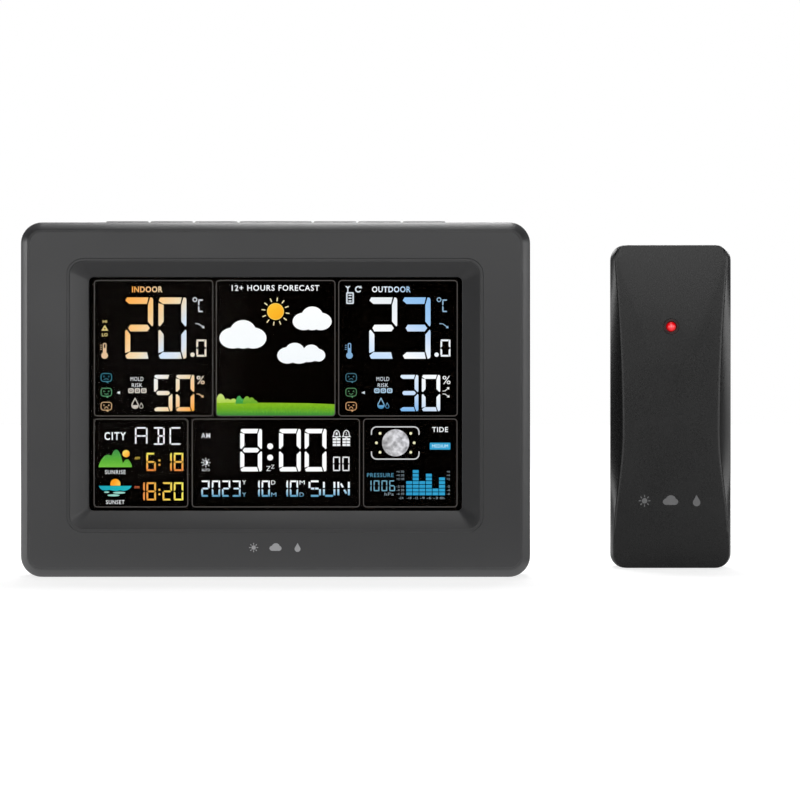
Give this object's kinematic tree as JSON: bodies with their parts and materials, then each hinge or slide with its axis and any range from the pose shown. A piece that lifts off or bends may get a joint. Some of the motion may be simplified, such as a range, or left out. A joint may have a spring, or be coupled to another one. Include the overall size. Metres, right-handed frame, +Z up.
{
  "type": "home weather station",
  "caption": "Colour-display weather console with top keys, folding stand and cell tray, and a separate wireless outdoor sensor with indicator and cell bay.",
  "frame": {"origin": "on the standing surface, under the middle of the display console", "axes": "+Z up, the display faces -Y, +X to the right of someone looking at the display"},
  "size_m": [0.2858, 0.0787, 0.1401],
  "materials": {
    "grey_case": "fine matte texture",
    "black_case": "fine matte texture",
    "clear_lens": "clear",
    "display_glass": "satin black",
    "white_plastic": "matte",
    "light_guide": "clear acrylic",
    "led_strip": "matte",
    "circuit_board": "solder mask",
    "grey_rubber": "matte",
    "steel": "plain",
    "nickel": "bright plate",
    "copper": "enamelled wire",
    "black_plastic": "satin",
    "label": "satin foil",
    "indicator_ring": "satin",
    "indicator_lens": "glossy",
    "switch_grey": "satin",
    "cell": "gloss sleeve"
  },
  "bodies": {
    "console": {"front_housing": "grey_case", "rear_cover": "grey_case", "display_lens": "clear_lens", "lcd_panel": "display_glass", "lcd_frame": "white_plastic", "light_guide": "light_guide", "reflector_sheet": "white_plastic", "led_strip": "led_strip", "main_board": "circuit_board", "key_board": "circuit_board", "climate_sensor": "circuit_board", "lcd_connector": "grey_rubber", "key_mat": "grey_rubber", "stand_pin": "steel", "dc_socket": "black_plastic", "dc_pin": "nickel", "buzzer": "black_plastic", "receiver_aerial": "copper", "blank_label": "label", "case_screw_1": "steel", "case_screw_2": "steel", "case_screw_3": "steel", "case_screw_4": "steel", "backup_cell_1": "cell", "backup_spring_1": "nickel", "backup_cell_2": "cell", "backup_spring_2": "nickel", "backup_contact_left": "nickel", "backup_contact_right": "nickel"},
    "sensor": {"sensor_front_shell": "black_case", "sensor_back_shell": "black_case", "indicator_ring": "indicator_ring", "indicator_lens": "indicator_lens", "sensor_board": "circuit_board", "sensor_aerial": "copper", "sensor_probe": "white_plastic", "sensor_cell_1": "cell", "sensor_cell_2": "cell", "sensor_contact_low": "nickel", "sensor_contact_high": "nickel", "sensor_spring_1": "nickel", "sensor_spring_2": "nickel", "sensor_screw_1": "steel", "sensor_screw_2": "steel"},
    "key_mode": {"key_mode": "grey_case"},
    "key_alarm": {"key_alarm": "grey_case"},
    "key_memory": {"key_memory": "grey_case"},
    "key_snooze_light": {"key_snooze_light": "grey_case"},
    "key_down": {"key_down": "grey_case"},
    "key_up": {"key_up": "grey_case"},
    "key_channel": {"key_channel": "grey_case"},
    "kickstand": {"kickstand": "grey_case"},
    "battery_door": {"battery_door": "grey_case"},
    "reset_button": {"reset_button": "black_plastic"},
    "tx_button": {"tx_button": "switch_grey"},
    "channel_switch": {"channel_switch": "switch_grey"},
    "sensor_door": {"sensor_door": "black_case"}
  },
  "joints": [
    {"name": "press_mode", "type": "slide", "parent": "console", "child": "key_mode", "axis": [0, 0, -1], "range_m": [0, 0.0007], "stiffness_N_per_m": 1500},
    {"name": "press_alarm", "type": "slide", "parent": "console", "child": "key_alarm", "axis": [0, 0, -1], "range_m": [0, 0.0007], "stiffness_N_per_m": 1500},
    {"name": "press_memory", "type": "slide", "parent": "console", "child": "key_memory", "axis": [0, 0, -1], "range_m": [0, 0.0007], "stiffness_N_per_m": 1500},
    {"name": "press_snooze_light", "type": "slide", "parent": "console", "child": "key_snooze_light", "axis": [0, 0, -1], "range_m": [0, 0.0007], "stiffness_N_per_m": 1500},
    {"name": "press_down", "type": "slide", "parent": "console", "child": "key_down", "axis": [0, 0, -1], "range_m": [0, 0.0007], "stiffness_N_per_m": 1500},
    {"name": "press_up", "type": "slide", "parent": "console", "child": "key_up", "axis": [0, 0, -1], "range_m": [0, 0.0007], "stiffness_N_per_m": 1500},
    {"name": "press_channel", "type": "slide", "parent": "console", "child": "key_channel", "axis": [0, 0, -1], "range_m": [0, 0.0007], "stiffness_N_per_m": 1500},
    {"name": "stand_hinge", "type": "hinge", "parent": "console", "child": "kickstand", "pos_m": [0, 0.0129, 0.062], "axis": [1, 0, 0], "range_deg": [0, 55]},
    {"name": "battery_door_off", "type": "slide", "parent": "console", "child": "battery_door", "axis": [0, 1, 0], "range_m": [0, 0.03]},
    {"name": "press_reset", "type": "slide", "parent": "console", "child": "reset_button", "axis": [0, -1, 0], "range_m": [0, 0.0006], "stiffness_N_per_m": 1500},
    {"name": "sensor_apart", "type": "slide", "parent": "console", "child": "sensor", "axis": [1, 0, 0], "range_m": [0, 0.15]},
    {"name": "sensor_door_off", "type": "slide", "parent": "sensor", "child": "sensor_door", "axis": [0, 1, 0], "range_m": [0, 0.03]},
    {"name": "press_tx", "type": "slide", "parent": "sensor", "child": "tx_button", "axis": [0, -1, 0], "range_m": [0, 0.0005], "stiffness_N_per_m": 1500},
    {"name": "channel_select", "type": "slide", "parent": "sensor", "child": "channel_switch", "axis": [1, 0, 0], "range_m": [0, 0.004]}
  ]
}
